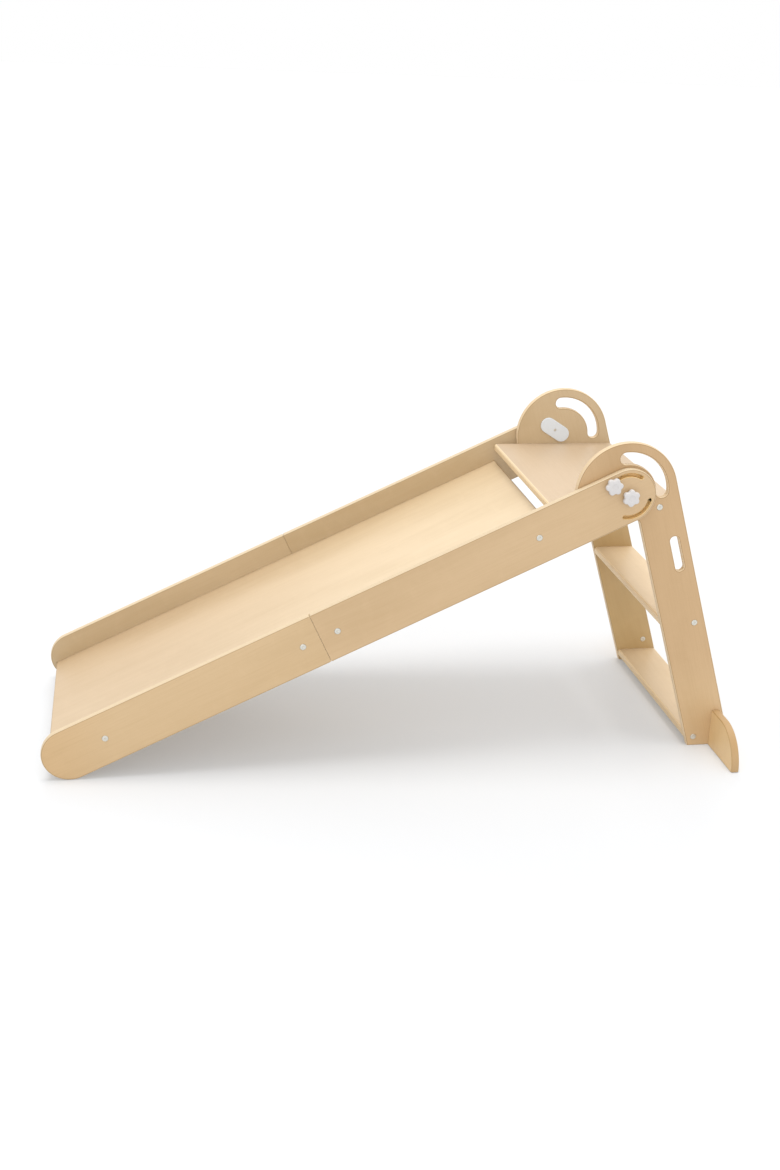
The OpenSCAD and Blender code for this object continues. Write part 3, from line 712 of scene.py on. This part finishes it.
for side, sign in (("left", -1), ("right", 1)):
    rec = [(1, circle(x, z - PIVOT_Z, 6.95, 0.35, 40), 2.0) for x, z in STEP_BOLTS]
    rec.append((0, circle(FOOT_X + 9, 57 - PIVOT_Z, 6.95, 0.35, 40), 2.0))
    # the spare lock hole, blind from outside
    rec.append((1, circle(*SPARE, 4.25, 0.3, 32), 12.0))
    face = FACE["ladder_near"] if sign < 0 else FACE["ladder_far"]
    mat = birch("birch_ladder_" + side, at_pivot(120, sign * (Y_LI + 7.5), -250), LEG_G, LEG_X, 15, 11, face, 41 + sign, (224, 203, 171), hinge_light_and_shade="face",
                tone_and_shade_drift=[twin(sign, FACE["ladder_near"], FACE["ladder_far"], (Y_LI + 7.5) * 0.001),
                       # painted light and shade: the outer faces are lighter toward the floor, lifting the shade there,
                       # and the inner faces browner and more golden below the platform, standing for its shade
                       (2, 0.10, 0.26, (1.10, 1.14, 1.18), (1, 1, 1), (Y_LI + 7.5) * 0.001, -1),
                       (2, 0.46, 0.58, (0.98, 0.90, 0.70), (1, 1, 1), (Y_LI + 7.5) * 0.001, 1)])
    Build().plate(panel_to3(sign, Y_LI, at_pivot), [corners(lad)] + lad_holes, SIDE_T, rec).done(
        "ladder_side_" + side, mat, "ladder", ["ladder_panel_" + side], "birch_plywood")


def tread(name, node, xs, top, bolts, face, seed, edge=(230, 208, 172)):
    x0, x1 = xs
    b = Build()
    # profile in x, z swept across the ladder, so that the long edges are full 6 mm rounds
    r = 6.0
    prof = []
    for (cxp, czp, q0) in ((x1 - r, top - r, 0), (x0 + r, top - r, 90), (x0 + r, top - STEP_T + r, 180), (x1 - r, top - STEP_T + r, 270)):
        for i in range(9):
            q = math.radians(q0 + 90 * i / 8)
            prof.append((cxp + r * math.cos(q), czp + r * math.sin(q), 0.35))
    # painted shade: each tread is darker toward the far leg and lighter toward the near leg
    mat = birch("birch_" + name, (PX + (x0 + x1) / 2, 0, top - STEP_T / 2), (0, 1, 0), (1, 0, 0), 18, 13, face, seed, edge, 0.0, [(1, -0.24, 0.24, (1.05, 1.06, 1.07), (0.92, 0.91, 0.89))])
    b.plate(lambda u, v, t: Vector((PX + u, t - Y_LI, v)), [prof], 2 * Y_LI, (), 2)
    b.bore_below(top - STEP_T, 14.0, [(PX + x, sg * (Y_LI - 28)) for x, _ in bolts for sg in (-1, 1)], 5.05)
    b.done(name, mat, "ladder", [node], "birch_plywood")


tread("standing_platform", "platform", PLAT_X, PLAT_Z, STEP_BOLTS[:2], FACE["platform"], 61)
# painted light: the middle tread lies in the slide's shade, and its edge tone is raised to lift it
tread("middle_tread", "middle_step", MID_X, MID_Z, STEP_BOLTS[2:3], FACE["middle"], 67, (240, 217, 180))
tread("bottom_tread", "bottom_step", BOT_X, BOT_Z, STEP_BOLTS[3:], FACE["bottom"], 71)

# outrigger feet
for side, sign in (("left", -1), ("right", 1)):
    y_edge = Y_LO + FOOT_REACH - FOOT_H
    ft = [(Y_LO, FOOT_H, 1.5, AL, 0.6), (Y_LO, 0, 1.5, 0.6, 2.0), (Y_LO + FOOT_REACH, 0, 3.6, 2.0, AL)]
    ft += [(y, z, 0, AL, AL) for y, z in arc(y_edge, 0, FOOT_H, 4, 90, 30)]
    rec = [(1, circle(Y_LO + 28, 57, 5.05, 0.3, 32), 15.0)]
    mat = birch("birch_foot_" + side, (PX + FOOT_X + 9, sign * (Y_LO + 60), 40), (0, 0, 1), (0, 1, 0), 18, 13, FACE["foot"], 83 + sign, (188, 158, 116))
    Build().plate(lambda u, v, t, sg=sign: Vector((PX + FOOT_X + t, sg * u, v)), [corners(ft)], FOOT_T, rec).done(
        "outrigger_" + side, mat, "ladder", ["foot_" + side], "birch_plywood")


# ---------------------------------------------------------------- fasteners
def bolt(b, at, out, up, length=45.0):
    """Flat-head connector bolt: at is the centre of the head's outer face, out its direction."""
    out, up = Vector(out), Vector(up)
    third = out.cross(up)
    to3 = lambda x, y, h: at + up * x + third * y + out * h
    R = [(round_pts(2.4), -2.5 - length), (round_pts(3.0), -2.5 - length + 0.7), (round_pts(3.0), -2.5),
         (round_pts(6.45), -2.5), (round_pts(6.75), -2.25), (round_pts(6.75), -0.75), (round_pts(6.62), -0.35),
         (round_pts(6.3), -0.09), (round_pts(5.9), 0.0), (round_pts(3.1), 0.0), (hex_pts(2.75), 0.0), (hex_pts(2.3), -0.35),
         (hex_pts(2.3), -1.8), (round_pts(1.2), -1.95)]
    b.stack(to3, R)


b = Build()
for s in BOLTS_S:
    for sg in (-1, 1):
        bolt(b, in_slide(-s, sg * (Y_SO + 0.5), 0), (0, sg, 0), SLIDE_G)
b.done("slide_connector_bolts", STEEL, "slide", ["slide_bolts"], "zinc_steel", False)
b = Build()
for x, z in STEP_BOLTS:
    for sg in (-1, 1):
        bolt(b, Vector((PX + x, sg * (Y_LO + 0.5), z)), (0, sg, 0), (math.cos(0.4), 0, math.sin(0.4)))
b.done("step_connector_bolts", STEEL, "ladder", ["step_bolts"], "zinc_steel", False)
b = Build()
for sg in (-1, 1):
    bolt(b, Vector((PX + FOOT_X + 9, sg * (Y_LI - 0.5), 57)), (0, -sg, 0), (0, 0, 1))
b.done("foot_connector_bolts", STEEL, "ladder", ["foot_bolts"], "zinc_steel", False)

b = Build()
for sg in (-1, 1):
    at = at_pivot(LOCK[0] / 2, sg * (Y_LI - 4), LOCK[1] / 2)
    out, up = Vector((0, -sg, 0)), Vector((1, 0, 0))
    th = out.cross(up)
    to3 = lambda x, y, h, at=at, out=out, up=up, th=th: at + up * x + th * y + out * h
    b.stack(to3, [(round_pts(1.2, 36), -13.5), (round_pts(1.5, 36), -12.6), (round_pts(1.5, 36), -1.6), (round_pts(2.95, 36), -1.6),
                  (round_pts(3.0, 36), -0.5), (round_pts(2.7, 36), -0.12), (round_pts(2.3, 36), 0.0), (hex_pts(1.3, 36), 0.0),
                  (hex_pts(1.2, 36), -0.15), (hex_pts(1.2, 36), -1.1)])
b.done("cover_fixing_screws", STEEL, "ladder", ["cover_screws"], "zinc_steel", False)


# ---------------------------------------------------------------- knobs, washers, covers
def star_pts(lobe, valley, turn, n=144):
    """The six-lobed outline: full round lobes, tighter valleys, one lobe at the angle turn."""
    out = []
    for i in range(n):
        a = 2 * math.pi * i / n
        c = 0.5 + 0.5 * math.cos(6 * (a - math.radians(turn)))
        r = valley + (lobe - valley) * (1 - (1 - c) ** 1.35)
        out.append((r * math.cos(a), r * math.sin(a)))
    return out


def knob(side, sign, kind, p):
    turn = 30 if kind == "pivot" else 10
    y0 = Y_SO + 2.2
    to3 = lambda x, y, h: at_pivot(p[0] + x, sign * (y0 + h), p[1] + y)
    n = 144
    S = lambda lobe, valley: star_pts(lobe, valley, turn, n)
    R = [(round_pts(4.0, n), 10.9), (round_pts(4.0, n), 0.0), (round_pts(9.1, n), 0.0), (round_pts(9.45, n), 0.35), (round_pts(9.5, n), 0.8),
         (round_pts(9.5, n), 4.2), (round_pts(9.9, n), 4.8), (round_pts(10.8, n), 5.05), (S(16.6, 13.4), 5.1),
         (S(18.0, 14.5), 5.45), (S(18.75, 15.2), 6.3), (S(19.0, 15.4), 7.4), (S(19.0, 15.4), 12.0),
         (S(18.75, 15.2), 13.2), (S(18.1, 14.7), 14.2), (S(17.0, 13.9), 14.8), (S(15.4, 12.9), 15.1),
         (round_pts(11.2, n), 15.45), (round_pts(8.2, n), 15.75), (round_pts(7.2, n), 15.75), (round_pts(6.7, n), 15.4), (round_pts(6.3, n), 14.9), (round_pts(3.0, n), 14.7)]
    b = Build()
    b.stack(to3, R)
    b.done("%s_star_knob_%s" % (kind, side), KNOB, "%s_knob_%s" % (kind, side), ["%s_knob_%s" % (kind, side)], "knob_plastic", False)


def ring_washer(side, sign, kind, p):
    to3 = lambda x, y, h: at_pivot(p[0] + x, sign * (Y_SO + 0.1 + h), p[1] + y)
    n = 64
    R = [(round_pts(4.1, n), 0.2), (round_pts(4.3, n), 0.0), (round_pts(11.6, n), 0.0), (round_pts(12.0, n), 0.4), (round_pts(12.0, n), 1.5),
         (round_pts(11.75, n), 1.85), (round_pts(11.3, n), 2.0), (round_pts(4.4, n), 2.0), (round_pts(4.1, n), 1.7)]
    b = Build()
    b.stack(to3, R, True)
    b.done("%s_flat_washer_%s" % (kind, side), STEEL, "%s_washer_%s" % (kind, side), ["%s_washer_%s" % (kind, side)], "zinc_steel", False)


stadium = []
for e, a0 in ((20.5, -90), (-20.5, 90)):
    q = (LOCK_R / 2 + e) / LOCK_R
    stadium += arc(LOCK[0] * q, LOCK[1] * q, 19, LOCK_A + a0, LOCK_A + a0 + 180, 32)
for side, sign in (("left", -1), ("right", 1)):
    for kind, p in (("pivot", (0, 0)), ("lock", LOCK)):
        knob(side, sign, kind, p)
        ring_washer(side, sign, kind, p)
    to3 = lambda u, v, t, sg=sign: at_pivot(u, sg * (Y_LI - t), v)
    Build().plate(to3, [soft(stadium, 1.5)], 4.0, [(1, circle(LOCK[0] / 2, LOCK[1] / 2, 3.2, 0.25, 32), 1.6)], 5, 0.15, 1.0).done(
        "nut_cover_plate_" + side, COVER, "ladder", ["nut_cover_" + side], "cover_plastic")

# CAD nodes that stay as they are, with their finish
KEEP = {
    "slide_barrel_nuts": (STEEL, "zinc_steel"), "step_barrel_nuts": (STEEL, "zinc_steel"), "foot_barrel_nuts": (STEEL, "zinc_steel"),
    "seam_dowels": (BEECH, "beech_dowel"), "step_dowels": (BEECH, "beech_dowel"), "foot_dowels": (BEECH, "beech_dowel"),
    "insert_nuts": (STEEL, "zinc_steel"), "gap_washers": (NYLON, "nylon"),
}
for kind in ("pivot", "lock"):
    for side in ("left", "right"):
        KEEP["%s_stud_%s" % (kind, side)] = (THREAD, "zinc_steel")
for name, (mat, slot) in KEEP.items():
    ob = NODES[name]
    ob.data.materials.clear()
    ob.data.materials.append(mat)

# ---------------------------------------------------------------- floor, light, camera
scene = bpy.context.scene
me = bpy.data.meshes.new("floor")
E = 60.0
me.from_pydata([(-E, -E, -0.0003), (E, -E, -0.0003), (E, E, -0.0003), (-E, E, -0.0003)], [], [(0, 1, 2, 3)])
floor = bpy.data.objects.new("floor", me)
scene.collection.objects.link(floor)
fs = Shader("floor_white")
fs.b.inputs["Base Color"].default_value = (0.55, 0.56, 0.575, 1)
fs.b.inputs["Roughness"].default_value = 0.9
fs.b.inputs["Specular IOR Level"].default_value = 0.1
fs.b.inputs["Emission Color"].default_value = (0.97, 0.985, 1.0, 1)
fs.b.inputs["Emission Strength"].default_value = 0.20
me.materials.append(fs.mat)
floor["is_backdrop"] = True

world = bpy.data.worlds.new("studio")
scene.world = world
world.use_nodes = True
bg = world.node_tree.nodes.get("Background") or world.node_tree.nodes.new("ShaderNodeBackground")
bg.inputs[0].default_value = (1.0, 1.0, 1.0, 1)
bg.inputs[1].default_value = 1.0

for name, power, spread, way, tint in (
        ("soft_key", 1.45, 30, (-0.03, 0.02, 1.0), (1.0, 0.985, 0.96)),
        ("soft_back", 0.40, 25, (0.10, 0.80, 0.60), (1.0, 0.99, 0.975)),
        ("soft_fill", 0.45, 25, (-0.18, -0.94, 0.30), (1.0, 0.98, 0.95))):
    lamp = bpy.data.objects.new(name, bpy.data.lights.new(name, "SUN"))
    lamp.data.energy = power
    lamp.data.angle = math.radians(spread)
    lamp.data.color = tint
    lamp.visible_glossy = name != "soft_back"
    scene.collection.objects.link(lamp)
    lamp.rotation_euler = (-Vector(way)).to_track_quat("-Z", "Y").to_euler()

# camera at the viewpoint that the picture was taken from
YAW, PITCH, ROLL, F = 0.18879356, 0.36352166, 0.03902776, 1438.362
fwd = Vector((math.sin(YAW) * math.cos(PITCH), math.cos(YAW) * math.cos(PITCH), -math.sin(PITCH)))
right = Vector((math.cos(YAW), -math.sin(YAW), 0))
up = right.cross(fwd)
r2 = right * math.cos(ROLL) + up * math.sin(ROLL)
u2 = -right * math.sin(ROLL) + up * math.cos(ROLL)
cam = bpy.data.objects.new("camera", bpy.data.cameras.new("camera"))
scene.collection.objects.link(cam)
cam.data.sensor_fit = "AUTO"
cam.data.sensor_width = 36.0
cam.data.lens = 36.0 * F / 1170
cam.data.clip_start, cam.data.clip_end = 0.05, 200
cam.matrix_world = Matrix.Translation(Vector((-1048.454 + PX, -3069.943, 1511.459)) * 0.001) @ Matrix((
    (r2.x, u2.x, -fwd.x, 0), (r2.y, u2.y, -fwd.y, 0), (r2.z, u2.z, -fwd.z, 0), (0, 0, 0, 1)))
scene.camera = cam
scene.view_settings.view_transform = "Standard"
scene.view_settings.look = "None"

lo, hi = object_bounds()
